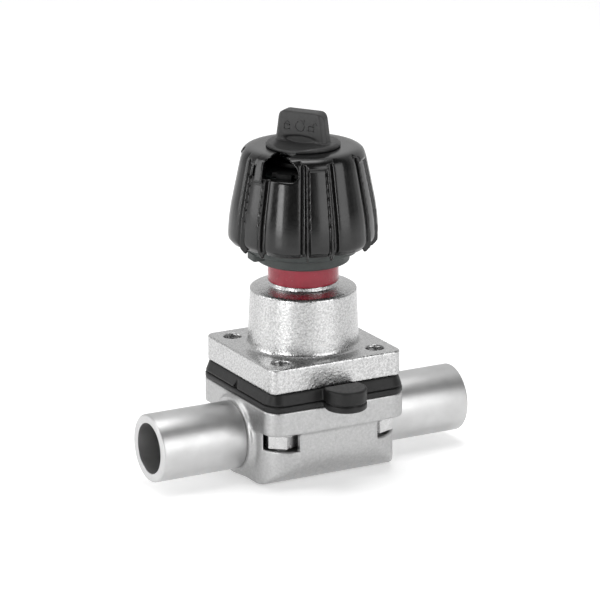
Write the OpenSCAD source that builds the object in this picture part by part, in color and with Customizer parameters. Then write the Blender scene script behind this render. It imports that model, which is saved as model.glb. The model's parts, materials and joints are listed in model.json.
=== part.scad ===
// Manual weir-type diaphragm valve with butt-weld spigots and a lockable handwheel.
// Millimetres, +X along the flow, +Z up the spindle.
// The origin is the middle of the flat base, under the spindle axis. The valve is open.

/* [Pipe ends] */
// Length over both spigot ends
face_to_face = 108; // [104:1:120]
// Outside diameter of the spigots
tube_od = 21.34; // [20.5:0.01:22]
// Bore of the spigots and of the straight passages
tube_id = 15.8; // [15:0.1:16]
// Height of the pipe axis above the flat base
axis_height = 13; // [12.8:0.1:14]

/* [Valve body] */
// Length of the clamped flange along the pipe
body_flange_len = 48.4; // [48:0.2:50]
// Width of the clamped flange
body_flange_wid = 47.8; // [47.4:0.2:50]
// Thickness of the body's flange
body_flange_thick = 7.7; // [7.5:0.1:8]
// Height of the body's sealing face above the pipe axis
seat_height = 12.8; // [12.7:0.1:13.2]
// Length of the block under the flange
block_len = 48.2; // [47.8:0.1:48.4]
// Width of the block under the flange
block_wid = 47.6; // [47:0.1:47.8]
// Radius of the short ring that each spigot is welded to
weld_ring_r = 12.2; // [11.8:0.1:12.4]

/* [Diaphragm] */
// Thickness of the clamped rim
rim_thick = 5.5; // [5:0.1:6]
// Radius of the flexing part
web_r = 13.4; // [13.2:0.1:13.6]
// Radius of the round nose of the marking ear
ear_r = 6.5; // [6:0.1:7]
// Reach of the ear's nose in front of the spindle axis
ear_reach = 33.8; // [33:0.1:35]

/* [Bonnet] */
// Length of the bonnet flange along the pipe
bonnet_len = 45.8; // [45:0.2:47]
// Width of the bonnet flange
bonnet_wid = 44.8; // [44:0.2:46]
// Thickness of the bonnet flange
bonnet_flange_thick = 8; // [7.5:0.1:9]
// Radius of the tapered boss at its foot
boss_foot_r = 17.35; // [17:0.05:17.8]
// Radius of the tapered boss at its top
boss_top_r = 16.56; // [16:0.02:17]
// Distance between the studs along the pipe
stud_pitch_x = 33; // [32.6:0.2:33.4]
// Distance between the studs across the pipe
stud_pitch_y = 32; // [31.6:0.2:32.4]
// Nominal diameter of the studs
stud_d = 5.4; // [5.2:0.1:5.6]

/* [Spindle] */
// Thread diameter of the spindle
thread_d = 10; // [9.6:0.1:10.4]
// Thread pitch, the travel in one turn
thread_pitch = 2; // [1.5:0.1:2.5]
// Travel of the diaphragm's centre from open to closed
stroke = 5.5; // [5:0.1:5.5]

/* [Handwheel] */
// Largest diameter of the handwheel
wheel_d = 47; // [46.4:0.2:48]
// Height of the handwheel's lower edge above the base
wheel_bottom = 73; // [72.8:0.1:73.2]
// Height of the handwheel's crown above the base
wheel_top = 102.5; // [102.3:0.1:102.7]
// Number of wide grip lobes around the wheel
lobe_count = 6; // [6:1:6]
// Direction that the locking window faces, in degrees about +Z from +X
lock_angle = -140; // [-150:1:-130]

/* [Lock key] */
// Radius of the key's round plate
key_plate_r = 11.5; // [11:0.1:12]
// Width of the key's grip tab at its foot
tab_wid = 17.6; // [17:0.1:18]
// Width of the grip tab at its top
tab_top_wid = 15; // [14.5:0.1:15.5]
// Thickness of the key's grip tab
tab_thick = 5; // [4.6:0.1:5.4]
// Height of the top of the key above the base
overall_height = 113.5; // [113:0.1:114.5]
// Radial travel of the lock bolt for a quarter turn of the key
bolt_travel = 1.4; // [1.3:0.05:1.4]
// Number of notches in the fixed lock ring
notch_count = 24; // [24:1:24]

/* [Hidden] */
$fn = 96;

// Colours
cast_steel = [0.72, 0.73, 0.74];
turned_steel = [0.80, 0.80, 0.81];
black_rubber = [0.08, 0.08, 0.09];
black_plastic = [0.05, 0.05, 0.06];
grey_plastic = [0.24, 0.24, 0.26];
red_plastic = [0.66, 0.11, 0.19];
bronze = [0.72, 0.55, 0.30];

// Gaps
eps = 0.01;              // cutters run past a face by this much
running_gap = 0.06;      // radial play of the pieces that turn or slide in each other
loose_gap = 0.3;         // play between pieces that only pass each other

// Heights above the base
seat_z = axis_height + seat_height;
body_flange_z = seat_z - body_flange_thick;
rim_top = seat_z + rim_thick;
bonnet_top = rim_top + bonnet_flange_thick;
boss_z = bonnet_top + 0.9;
boss_top = boss_z + 17;
neck_z = boss_top + 1.3;
neck_top = neck_z + 1.3;
web_low = seat_z - 0.8;
weir_z = web_low - stroke;
compressor_z = rim_top + 1.1;
compressor_top = compressor_z + 10.6;
shoulder_z = compressor_top + 1;
bush_z = shoulder_z + 0.5;
bush_flange_top = bush_z + 1.5;
bush_top = bush_flange_top + 7;
sleeve_top = wheel_top - 15.7;
hub_plate_z = sleeve_top + stroke + 0.4;
hub_plate_top = hub_plate_z + 2.6;
bolt_z = hub_plate_top + 0.2;
bolt_plate_top = bolt_z + 1.5;
cam_z = bolt_plate_top + 0.2;
cam_top = cam_z + 1.4;
ceiling_z = wheel_top - 1.9;
collar_z = wheel_bottom - 7.3;
tier_z = wheel_bottom - 3.5;
collar_seat_z = wheel_bottom + 2;

// Radii
bore_r = tube_id / 2;
compressor_r = 11.8;
compressor_bore_r = compressor_r + 0.3;
bush_r = 8.5;
sleeve_r = 10.4;
sleeve_bore_r = 8.6;
neck_r = 11;
notch_root_r = 11.8;
lock_ring_r = 13;
thread_r = thread_d / 2;
spindle_end_r = 4;
hub_boss_r = 8;
hub_plate_r = 17.3;
chamber_r = 16.6;
barrel_r = 6;
cam_r = 9;
wheel_r = wheel_d / 2;
stud_r = stud_d / 2;

// Sizes inside the lock
pin_free_r = 6.4;        // distance of the bolt pin from the axis with the lock free
pin_r = 1;
bolt_wid = 9;
leg_wid = 5;
leg_inner_r = 14.7;
leg_outer_r = 16.3;
tooth_tip_r = lock_ring_r + 0.4;
notch_wid = 1.9;
tooth_wid = 1.4;
screw_angles = [-75, 20, 115];
hub_screw_ring_r = 13.6;

// Taper of the grip, from its widest ring to the crown
grip_z = wheel_bottom + 2.5;
grip_top = wheel_top - 3.5;
grip_top_r = wheel_r - 3.9;
grip_lean = atan((wheel_r - grip_top_r) / (grip_top - grip_z));
lobe_pitch = 360 / lobe_count;

// Points along an arc, both ends included
function arc(cx, cy, r, from, to, steps) =
    [for (i = [0:steps]) let (a = from + (to - from) * i / steps) [cx + r * cos(a), cy + r * sin(a)]];

// Rounded rectangle about the origin
function rounded_outline(l, w, r, steps = 8) = concat(
    arc(l / 2 - r, w / 2 - r, r, 0, 90, steps),
    arc(r - l / 2, w / 2 - r, r, 90, 180, steps),
    arc(r - l / 2, r - w / 2, r, 180, 270, steps),
    arc(l / 2 - r, r - w / 2, r, 270, 360, steps));

// Rectangle that stands on y = 0 with its two lower corners rounded
function keel_outline(w, h, r, steps = 8) = concat(
    arc(r - w / 2, r, r, 180, 270, steps),
    arc(w / 2 - r, r, r, 270, 360, steps),
    [[w / 2, h], [-w / 2, h]]);

module at_studs() {
    for (sx = [-1, 1], sy = [-1, 1])
        translate([sx * stud_pitch_x / 2, sy * stud_pitch_y / 2, 0]) children();
}

module plate(l, w, r, low, high) {
    translate([0, 0, low]) linear_extrude(high - low) polygon(rounded_outline(l, w, r));
}

module post(r, low, high) {
    translate([0, 0, low]) cylinder(r = r, h = high - low);
}

module ring(inner_r, outer_r, low, high) {
    difference() {
        post(outer_r, low, high);
        post(inner_r, low - 1, high + 1);
    }
}

module along_x(r, from, to) {
    translate([from, 0, axis_height]) rotate([0, 90, 0]) cylinder(r = r, h = to - from);
}

module oring(mid_r, cord_r, z) {
    translate([0, 0, z]) rotate_extrude() translate([mid_r, 0]) circle(r = cord_r);
}

/* ---- Valve body and pipe ends ---- */

block_round = 13;        // upright corners of the block
belly_round = 12.5;      // lower edges along the pipe
heel_round = 1.5;        // lower edges across the pipe
weld_ring_len = 25.4;
passage_lean = 45.7;
passage_r = 6.7;
bowl_r = 13.5;

module block_under_flange() {
    h = body_flange_z + 1;
    intersection() {
        plate(block_len, block_wid, block_round, 0, h);
        rotate([90, 0, 0]) linear_extrude(block_wid + 2, center = true)
            polygon(keel_outline(block_len, h, heel_round));
        rotate([90, 0, 90]) linear_extrude(block_len + 2, center = true)
            polygon(keel_outline(block_wid, h, belly_round, 12));
    }
}

// Bowl above the weir: its lowest line across the flow is the weir's crest
module bowl() {
    intersection() {
        translate([-web_r, 0, weir_z + bowl_r]) rotate([0, 90, 0]) cylinder(r = bowl_r, h = 2 * web_r);
        post(web_r - 0.2, axis_height - 4, seat_z + 1);
    }
}

// Slanting passage from a straight bore up into the bowl
module passage(side) {
    mirror([side < 0 ? 0 : 1, 0, 0]) translate([-19, 0, axis_height])
        rotate([0, 90 - passage_lean, 0]) translate([0, 0, -2]) cylinder(r = passage_r, h = 24);
}

nut_pocket_r = 6.4;
nut_pocket_z = axis_height - 0.6;
washer_r = 5.6;
washer_thick = 1;
nut_corner_r = 5.75;     // from the nut's middle to a corner
nut_turn = 20;
nut_thick = 4;
nut_z = body_flange_z - washer_thick - nut_thick;

// The two pockets on one long side leave the casting through it
module pocket_run_out(side) {
    wid = 5.6;
    reach = 9;
    middle_y = side * (stud_pitch_y + reach) / 2;
    for (end = [-1, 1])
        translate([end * stud_pitch_x / 2 - wid / 2, middle_y - reach / 2, nut_pocket_z])
            cube([wid, reach, body_flange_z - nut_pocket_z]);
}

module body() {
    color(cast_steel) difference() {
        union() {
            block_under_flange();
            plate(body_flange_len, body_flange_wid, 5.5, body_flange_z, seat_z);
            along_x(weld_ring_r, -weld_ring_len, weld_ring_len);
        }
        along_x(bore_r, -weld_ring_len - 1, -15);
        along_x(bore_r, 15, weld_ring_len + 1);
        bowl();
        passage(-1);
        passage(1);
        at_studs() post(stud_r + 0.25, body_flange_z - 1, seat_z + 1);
        at_studs() post(nut_pocket_r, nut_pocket_z, body_flange_z);
        for (side = [-1, 1]) pocket_run_out(side);
    }
}

module spigot(side) {
    length = face_to_face / 2 - weld_ring_len;
    chamfer = 0.4;
    mirror([side < 0 ? 1 : 0, 0, 0]) translate([weld_ring_len, 0, axis_height]) rotate([0, 90, 0])
        rotate_extrude() polygon([
            [bore_r, 0], [tube_od / 2, 0], [tube_od / 2, length - chamfer],
            [tube_od / 2 - chamfer, length], [bore_r, length]]);
}

module inlet_spigot() color(turned_steel) spigot(-1);
module outlet_spigot() color(turned_steel) spigot(1);

/* ---- Diaphragm ---- */

ear_y = ear_r - ear_reach;
ear_z = seat_z - 0.3;
ear_top = rim_top + 0.9;

module diaphragm() {
    ear_root = -body_flange_wid / 2 - 0.2;
    color(black_rubber) difference() {
        union() {
            plate(body_flange_len, body_flange_wid, 5.5, seat_z, rim_top);
            translate([-ear_r, ear_y, seat_z]) cube([2 * ear_r, -ear_y - 20, rim_thick]);
            intersection() {
                translate([0, ear_y, ear_z]) cylinder(r = ear_r, h = ear_top - ear_z);
                translate([-10, -40, ear_z]) cube([20, 40 + ear_root, ear_top - ear_z]);
            }
        }
        post(web_r, seat_z - 1, rim_top + 1);
        at_studs() post(stud_r + 0.25, seat_z - 1, rim_top + 1);
    }
}

stud_head_z = web_low + 1.6;

module stud_shape() {
    post(4.2, stud_head_z, stud_head_z + 1.6);
    post(2.5, stud_head_z + 1, compressor_z + 4.4);
}

module diaphragm_web() {
    edge = web_r - 0.02;
    color(black_rubber) difference() {
        rotate_extrude() polygon([
            [0, web_low], [3.6, web_low + 0.2], [8, seat_z + 1.9], [edge, seat_z + 1.75],
            [edge, seat_z + 3.8], [9.6, rim_top - 0.5], [6.2, compressor_z - 0.1], [0, compressor_z - 0.1]]);
        stud_shape();
    }
}

module diaphragm_stud() color(turned_steel) stud_shape();

/* ---- Bonnet and its fasteners ---- */

guide_z = compressor_z + 6.2;
snap_groove_r = compressor_bore_r + 0.8;

module bonnet() {
    slot_top = guide_z + 1.7;
    color(cast_steel) difference() {
        union() {
            plate(bonnet_len, bonnet_wid, 2.8, rim_top, bonnet_top);
            rotate_extrude() polygon([
                [0, bonnet_top - 1], [boss_foot_r + 0.9, bonnet_top - 1], [boss_foot_r + 0.9, bonnet_top],
                [boss_foot_r, boss_z], [boss_top_r, boss_top], [neck_r, neck_z], [neck_r, neck_top],
                [0, neck_top]]);
        }
        post(compressor_bore_r, rim_top - 1, bush_flange_top);
        post(bush_r, bush_flange_top - 1, bush_top + 1);
        post(sleeve_r, bush_top, neck_top + 1);
        post(snap_groove_r, bush_z - 1.1, bush_z);
        at_studs() post(stud_r + 0.1, rim_top - 1, bonnet_top + 1);
        translate([-14, -1.6, rim_top - 1]) cube([28, 3.2, slot_top - rim_top + 1]);
    }
}

stud_low = body_flange_z - 5.4;

module bonnet_studs() {
    color(turned_steel) at_studs() difference() {
        post(stud_r, stud_low, bonnet_top - 1.6);
        translate([0, 0, bonnet_top - 3.6]) cylinder(d = 2.9, h = 3, $fn = 6);
    }
}

module nut_washers() color(turned_steel) at_studs()
    ring(stud_r + 0.15, washer_r, body_flange_z - washer_thick, body_flange_z);

module stud_nuts() {
    color(turned_steel) at_studs() difference() {
        translate([0, 0, nut_z]) rotate([0, 0, nut_turn]) cylinder(r = nut_corner_r, h = nut_thick, $fn = 6);
        post(stud_r + 0.05, nut_z - 1, body_flange_z);
    }
}

module spindle_bush() {
    color(bronze) difference() {
        union() {
            post(10, bush_z, bush_flange_top);
            post(bush_r - 0.02, bush_flange_top - 0.5, bush_top);
        }
        post(thread_r + running_gap, bush_z - 1, bush_top + 1);
        post(thread_r + 1.4, bush_top - 3.2, bush_top - 1.4);
    }
}

module bush_retaining_ring() {
    color(turned_steel) difference() {
        ring(10.6, snap_groove_r - 0.1, bush_z - 1, bush_z - 0.1);
        translate([0, -2, bush_z - 2]) cube([20, 4, 3]);
    }
}

module bush_oring() color(black_rubber) oring(thread_r + 0.78, 0.62, bush_top - 2.3);

module neck_sleeve() {
    color(grey_plastic) difference() {
        ring(sleeve_bore_r, sleeve_r - 0.02, bush_top + 0.05, sleeve_top);
        oring(sleeve_r - 0.62, 0.63, bush_top + 4);
    }
}

module sleeve_oring() color(black_rubber) oring(sleeve_r - 0.62, 0.6, bush_top + 4);

module position_indicator() color(red_plastic) ring(sleeve_r, neck_r, neck_top, neck_top + 10.7);

// Notched ring on the sleeve: the lock bolt's tooth drops between two of its teeth
module lock_ring() {
    low = sleeve_top - 9.8;
    color(turned_steel) difference() {
        ring(sleeve_r, lock_ring_r, low, sleeve_top);
        for (i = [0:notch_count - 1]) rotate([0, 0, lock_angle + i * 360 / notch_count])
            translate([notch_root_r, -notch_wid / 2, low - 1]) cube([3, notch_wid, 12]);
    }
}

/* ---- Compressor, which slides in the bonnet and can't turn ---- */

clip_z = compressor_top - 4.1;

module compressor() {
    color(turned_steel) difference() {
        post(compressor_r, compressor_z, compressor_top);
        post(2.5, compressor_z - 1, compressor_z + 4.5);
        post(7, compressor_z + 4.4, compressor_top - 3);
        post(spindle_end_r + running_gap, compressor_top - 4, compressor_top + 1);
        translate([0, 0, guide_z]) rotate([0, 90, 0]) difference() {
            cylinder(r = 1.5, h = 40, center = true);
            cylinder(r = 2, h = 2 * compressor_r - 5, center = true);
        }
        for (a = [0:45:135]) rotate([0, 0, a + 22.5]) difference() {
            translate([-14, -0.9, compressor_z - 1]) cube([28, 1.8, 2.2]);
            post(5, compressor_z - 2, compressor_z + 2);
        }
    }
}

module guide_pins() {
    color(turned_steel) for (side = [0, 180]) rotate([0, 0, side])
        translate([compressor_r - 2.5, 0, guide_z]) rotate([0, 90, 0]) cylinder(r = 1.5, h = 4.4);
}

module thrust_washer() color(bronze)
    ring(spindle_end_r + running_gap, 7, compressor_top, compressor_top + 0.95);

/* ---- Spindle and handwheel ---- */

spindle_top = hub_plate_z - 0.7;
hex_z = spindle_top - 15;
hex_r = 4.04;

module spindle() {
    color(turned_steel) difference() {
        union() {
            post(spindle_end_r, clip_z - 2, shoulder_z + 0.5);
            post(thread_r, shoulder_z, hex_z);
            translate([0, 0, hex_z - 0.5]) cylinder(r = hex_r, h = spindle_top - hex_z + 0.5, $fn = 6);
        }
        ring(3.2, 6, clip_z, clip_z + 1.1);
        post(1.6, spindle_top - 10, spindle_top + 1);
        for (z = [shoulder_z + 4 : thread_pitch : hex_z - 2]) translate([0, 0, z])
            rotate_extrude() polygon([[thread_r - 0.7, 0], [thread_r + 0.1, -0.5], [thread_r + 0.1, 0.5]]);
    }
}

module spindle_clip() {
    color(turned_steel) difference() {
        ring(3.25, 5.6, clip_z + 0.05, clip_z + 1.05);
        translate([0, -2.2, clip_z - 1]) cube([10, 4.4, 4]);
    }
}

hub_z = hub_plate_z - 17.7;

module handwheel_hub() {
    color(grey_plastic) difference() {
        union() {
            post(hub_boss_r, hub_z, hub_plate_z + 1);
            post(hub_plate_r, hub_plate_z, hub_plate_top);
        }
        translate([0, 0, hub_z - 1]) cylinder(r = hex_r + 0.05, h = 20, $fn = 6);
        post(thread_r + running_gap, hub_z - 1, hex_z + 0.1);
        post(4.4, hub_plate_z - 0.6, hub_plate_top + 1);
        rotate([0, 0, lock_angle])
            translate([tooth_tip_r - bolt_travel - 0.5, -leg_wid / 2 - 0.2, hub_plate_z - 1])
                cube([8, leg_wid + 0.4, 5]);
        for (a = screw_angles) rotate([0, 0, a]) translate([hub_screw_ring_r, 0, 0]) {
            post(1.35, hub_plate_z - 1, hub_plate_top + 1);
            post(2.5, hub_plate_z - 1, hub_plate_z + 1.5);
        }
    }
}

module hub_screws() {
    color(turned_steel) for (a = screw_angles) rotate([0, 0, a]) translate([hub_screw_ring_r, 0, 0]) {
        post(2.3, hub_plate_z + 0.1, hub_plate_z + 1.5);
        post(1.2, hub_plate_z + 1, hub_plate_top + 4);
    }
}

module spindle_screw() {
    color(turned_steel) difference() {
        union() {
            post(3.2, spindle_top + 0.85, hub_plate_top - 0.1);
            post(1.55, spindle_top - 8, spindle_top + 1);
        }
        translate([0, 0, hub_plate_top - 1.5]) cylinder(d = 2.5, h = 3, $fn = 6);
    }
}

module spindle_washer() color(turned_steel) ring(1.7, 4.2, spindle_top + 0.1, spindle_top + 0.8);

// Cutter for a stretch of the grip, parallel to its taper
module grip_cut(depth, wid, top) {
    translate([wheel_r - depth, -wid / 2, grip_z]) rotate([0, -grip_lean, 0])
        translate([0, 0, -6]) cube([6, wid, top - grip_z + 6]);
}

module window_cut(length) {
    intersection() {
        translate([8, 0, hub_plate_top + 0.4]) rotate([0, 90, 0]) cylinder(r = 5.9, h = length);
        translate([7, -7, hub_plate_top]) cube([length + 2, 14, 10]);
    }
}

module handwheel() {
    shell = 3.4;
    color(black_plastic) difference() {
        union() {
            difference() {
                rotate_extrude() polygon([
                    [0, wheel_bottom], [wheel_r - 1.2, wheel_bottom], [wheel_r, wheel_bottom + 1],
                    [wheel_r, grip_z], [wheel_r - 0.3, grip_z + 4.8], [grip_top_r, grip_top],
                    [grip_top_r - 0.7, wheel_top - 1.4], [grip_top_r - 2, wheel_top - 0.2],
                    [grip_top_r - 3.4, wheel_top], [0, wheel_top]]);
                for (k = [0:lobe_count - 1]) rotate([0, 0, lock_angle + 35 + k * lobe_pitch]) {
                    grip_cut(1.0, 6.6, grip_top + 0.8);
                    for (side = [-1, 1]) rotate([0, 0, side * 12.5]) grip_cut(1.5, 1.2, grip_top + 1.2);
                }
                rotate_extrude() polygon([
                    [0, wheel_bottom - 1], [19.8, wheel_bottom - 1], [19.8, collar_seat_z],
                    [wheel_r - shell - 1.4, collar_seat_z], [wheel_r - shell - 1.6, grip_z + 5],
                    [hub_plate_r + 0.1, hub_plate_z - 0.5], [hub_plate_r + 0.1, hub_plate_top],
                    [chamber_r, hub_plate_top], [chamber_r, ceiling_z], [0, ceiling_z]]);
            }
            post(8, cam_top + 0.2, ceiling_z + 1);
            for (a = screw_angles) rotate([0, 0, a]) translate([hub_screw_ring_r, 0, 0])
                post(2.6, hub_plate_top, ceiling_z + 1);
        }
        post(barrel_r + running_gap, cam_top - 1, wheel_top + 1);
        for (a = screw_angles) rotate([0, 0, a]) translate([hub_screw_ring_r, 0, 0])
            post(1.25, hub_plate_top - 1, hub_plate_top + 4.2);
        rotate([0, 0, lock_angle]) window_cut(14);
        rotate([0, 0, lock_angle - 32]) translate([chamber_r - 2, -1.7, hub_plate_top + 0.4])
            cube([8, 3.4, 3.8]);
    }
}

module handwheel_collar() {
    bore = neck_r + 0.35;
    color(grey_plastic) union() {
        rotate_extrude() polygon([
            [bore, collar_z], [12.7, collar_z], [14.4, collar_z + 0.6], [14.4, tier_z],
            [17, tier_z], [17.6, tier_z + 0.6], [17.6, wheel_bottom + 0.2], [19.7, wheel_bottom + 0.2],
            [19.7, collar_seat_z - 0.02], [bore, collar_seat_z - 0.02]]);
        rotate([0, 0, lock_angle - 45]) translate([13.6, -2.6, tier_z - 1.8]) cube([4.2, 5.2, 2.6]);
    }
}

/* ---- Lock key, its cam and the bolt ---- */

tang_wid = 6;
plate_z = wheel_top + 0.1;
plate_top = plate_z + 1.4;

module key_tab() {
    radius = 2.4;
    tab_h = overall_height - plate_top + 0.6;
    rotate([0, 0, lock_angle + 85]) rotate([90, 0, 0]) translate([0, plate_top - 0.6, -tab_thick / 2])
        linear_extrude(tab_thick) polygon(concat(
            [[-tab_wid / 2, 0], [tab_wid / 2, 0]],
            arc(tab_top_wid / 2 - radius, tab_h - radius, radius, 0, 90, 8),
            arc(radius - tab_top_wid / 2, tab_h - radius, radius, 90, 180, 8)));
}

module lock_key() {
    color(grey_plastic) difference() {
        union() {
            rotate_extrude() polygon([
                [0, cam_top], [barrel_r, cam_top], [barrel_r, plate_z], [key_plate_r, plate_z],
                [key_plate_r, plate_z + 0.9], [key_plate_r - 0.5, plate_top], [0, plate_top]]);
            rotate([0, 0, lock_angle]) translate([-tang_wid / 2, -tang_wid / 2, cam_z])
                cube([tang_wid, tang_wid, 2]);
            key_tab();
        }
        oring(barrel_r - 0.42, 0.48, wheel_top - 1);
        post(1.5, cam_z - 1, cam_z + 7);
        post(2.6, cam_z - 1, cam_z + 0.8);
    }
}

module key_oring() color(black_rubber) oring(barrel_r - 0.42, 0.45, wheel_top - 1);

// Distance of the cam groove's centre from the axis, after the key has turned by a degrees
function groove_r(a) = pin_free_r - bolt_travel * a / 90;

function groove_side(offset, from, to, steps) =
    [for (i = [0:steps]) let (a = from + (to - from) * i / steps)
        (groove_r(a) + offset) * [cos(a), sin(a)]];

module key_cam() {
    half = pin_r + 0.08;
    past = 14;
    color(turned_steel) difference() {
        post(cam_r, cam_z, cam_top - 0.02);
        rotate([0, 0, lock_angle]) {
            translate([-tang_wid / 2 - 0.02, -tang_wid / 2 - 0.02, cam_z - 1])
                cube([tang_wid + 0.04, tang_wid + 0.04, 4]);
            translate([0, 0, cam_z - 1]) linear_extrude(4) polygon(concat(
                groove_side(half, -past, 90 + past, 52), groove_side(-half, 90 + past, -past, 52)));
        }
    }
}

module key_screw() {
    color(turned_steel) difference() {
        union() {
            post(2.5, cam_z + 0.05, cam_z + 0.8);
            post(1.45, cam_z + 0.5, cam_z + 6.8);
        }
        translate([-3, -0.3, cam_z - 1]) cube([6, 0.6, 1.4]);
    }
}

module lock_bolt() {
    leg_low = sleeve_top - 3.8;
    color(turned_steel) rotate([0, 0, lock_angle]) difference() {
        union() {
            translate([-7.5, -bolt_wid / 2, bolt_z])
                cube([leg_inner_r + 7.5, bolt_wid, bolt_plate_top - bolt_z]);
            translate([leg_inner_r - 2, -leg_wid / 2, bolt_z])
                cube([leg_outer_r - leg_inner_r + 2, leg_wid, bolt_plate_top - bolt_z]);
            translate([leg_inner_r, -leg_wid / 2, leg_low])
                cube([leg_outer_r - leg_inner_r, leg_wid, bolt_z - leg_low + 0.5]);
            translate([tooth_tip_r, -tooth_wid / 2, leg_low])
                cube([leg_inner_r - tooth_tip_r + 0.5, tooth_wid, 3.4]);
        }
        translate([pin_free_r, 0, 0]) post(pin_r, bolt_z - 1, bolt_plate_top + 1);
    }
}

module bolt_pin() {
    color(turned_steel) rotate([0, 0, lock_angle]) translate([pin_free_r, 0, 0])
        post(pin_r, bolt_z, cam_top - 0.3);
}

body();
inlet_spigot();
outlet_spigot();
diaphragm();
diaphragm_web();
diaphragm_stud();
bonnet();
bonnet_studs();
stud_nuts();
nut_washers();
spindle_bush();
bush_retaining_ring();
bush_oring();
neck_sleeve();
sleeve_oring();
position_indicator();
lock_ring();
compressor();
guide_pins();
thrust_washer();
spindle();
spindle_clip();
handwheel();
handwheel_hub();
handwheel_collar();
hub_screws();
spindle_screw();
spindle_washer();
lock_key();
key_oring();
key_cam();
key_screw();
lock_bolt();
bolt_pin();
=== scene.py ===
import json
import math

import bpy
import numpy as np
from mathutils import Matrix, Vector


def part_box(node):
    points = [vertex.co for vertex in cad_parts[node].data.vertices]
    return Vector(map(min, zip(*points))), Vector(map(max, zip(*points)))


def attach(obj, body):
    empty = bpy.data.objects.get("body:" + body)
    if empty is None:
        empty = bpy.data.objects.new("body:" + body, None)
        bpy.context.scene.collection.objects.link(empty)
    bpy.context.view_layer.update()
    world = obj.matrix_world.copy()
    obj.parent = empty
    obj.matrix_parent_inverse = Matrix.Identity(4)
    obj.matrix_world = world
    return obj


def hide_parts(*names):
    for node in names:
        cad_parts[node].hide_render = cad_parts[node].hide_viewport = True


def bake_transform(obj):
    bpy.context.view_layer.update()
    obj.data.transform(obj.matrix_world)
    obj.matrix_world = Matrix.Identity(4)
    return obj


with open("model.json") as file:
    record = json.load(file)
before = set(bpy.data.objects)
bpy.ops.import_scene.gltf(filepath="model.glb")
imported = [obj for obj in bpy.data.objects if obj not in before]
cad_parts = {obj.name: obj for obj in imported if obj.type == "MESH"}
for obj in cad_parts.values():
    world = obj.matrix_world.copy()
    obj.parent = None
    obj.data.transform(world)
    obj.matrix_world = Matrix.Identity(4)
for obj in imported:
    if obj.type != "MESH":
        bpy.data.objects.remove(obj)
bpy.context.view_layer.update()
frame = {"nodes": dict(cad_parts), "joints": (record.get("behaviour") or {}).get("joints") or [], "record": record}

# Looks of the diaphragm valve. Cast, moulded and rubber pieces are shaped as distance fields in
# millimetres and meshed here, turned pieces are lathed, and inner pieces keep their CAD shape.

MM = 0.001
scene = bpy.context.scene


# ---------------------------------------------------------------- sizes taken from the frame

def box_mm(node):
    """The low and high corners of a node's box, in millimetres."""
    low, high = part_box(node)
    return np.array(low) / MM, np.array(high) / MM


def levels(node):
    """The heights of a node's underside and top, in millimetres."""
    low, high = box_mm(node)
    return low[2], high[2]


def direction(degrees):
    return math.cos(math.radians(degrees)), math.sin(math.radians(degrees))


MOUNTS = {m["name"]: m for m in frame["record"]["mounts"]}
JOINTS = {j["name"]: j for j in frame["joints"]}
BOLT_WAY = JOINTS["bolt_slide"]["axis"]
LOCK = math.degrees(math.atan2(BOLT_WAY[1], BOLT_WAY[0]))     # direction that the locking window faces
AXIS_Z = MOUNTS["outlet_spigot"]["pos_m"][2] / MM             # height of the pipe axis
TUBE_R = MOUNTS["outlet_spigot"]["dims"]["r_mm"]
BORE_R = MOUNTS["outlet_bore"]["dims"]["r_mm"]

BODY_LOW, BODY_HIGH = box_mm("body")
RIM_LOW, RIM_HIGH = box_mm("diaphragm")
BONNET_LOW, BONNET_HIGH = box_mm("bonnet")
KEY_LOW, KEY_HIGH = box_mm("lock_key")
STUDS_HIGH = box_mm("bonnet_studs")[1]
SPIGOT_START, SPIGOT_END = [corner[0] for corner in box_mm("outlet_spigot")]
NECK_R = box_mm("position_indicator")[1][0]
RING_LOW, RING_TOP = levels("position_indicator")
BUSH_LOW, BUSH_TOP = levels("spindle_bush")
COLLAR_LOW, COLLAR_TOP = levels("handwheel_collar")
WHEEL_LOW, WHEEL_TOP = levels("handwheel")
HUB_TOP = levels("handwheel_hub")[1]
CAM_TOP = levels("key_cam")[1]

SEAT_Z = BODY_HIGH[2]                          # top of the body's flange
RIM_TOP = BONNET_LOW[2]                        # top of the diaphragm's rim
STUD_R = 2.7
STUD_PLAY = 0.25                               # gap around a stud in the body and the diaphragm
STUD_X = STUDS_HIGH[0] - STUD_R
STUD_Y = STUDS_HIGH[1] - STUD_R
FLANGE_X = BODY_HIGH[0] - 1.2                  # the weld rings stand 1.2 further out than the flange
FLANGE_Y = BODY_HIGH[1]
FLANGE_Z = levels("stud_nuts")[1] + 1          # underside of the flange, one washer above the nuts
FLANGE_ROUND = 5.5                             # upright corners of the flange and the diaphragm
WEIR_Z = SEAT_Z - 6.3
WHEEL_R = 23.5


# ---------------------------------------------------------------- distance fields (mm)

def smooth_min(a, b, k):
    h = np.maximum(k - np.abs(a - b), 0) / k
    return np.minimum(a, b) - h * h * k / 4


def smooth_max(a, b, k):
    return -smooth_min(-a, -b, k)


def rectangle(x, y, half_x, half_y, r):
    qx = np.abs(x) - half_x + r
    qy = np.abs(y) - half_y + r
    return np.hypot(np.maximum(qx, 0), np.maximum(qy, 0)) + np.minimum(np.maximum(qx, qy), 0) - r


def slab(flat, z, low, high, r):
    """A flat outline's distance, stood up between two heights, with both rims rounded by r."""
    side = flat + r
    rise = np.abs(z - (low + high) / 2) - (high - low) / 2 + r
    return np.hypot(np.maximum(side, 0), np.maximum(rise, 0)) + np.minimum(np.maximum(side, rise), 0) - r


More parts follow.
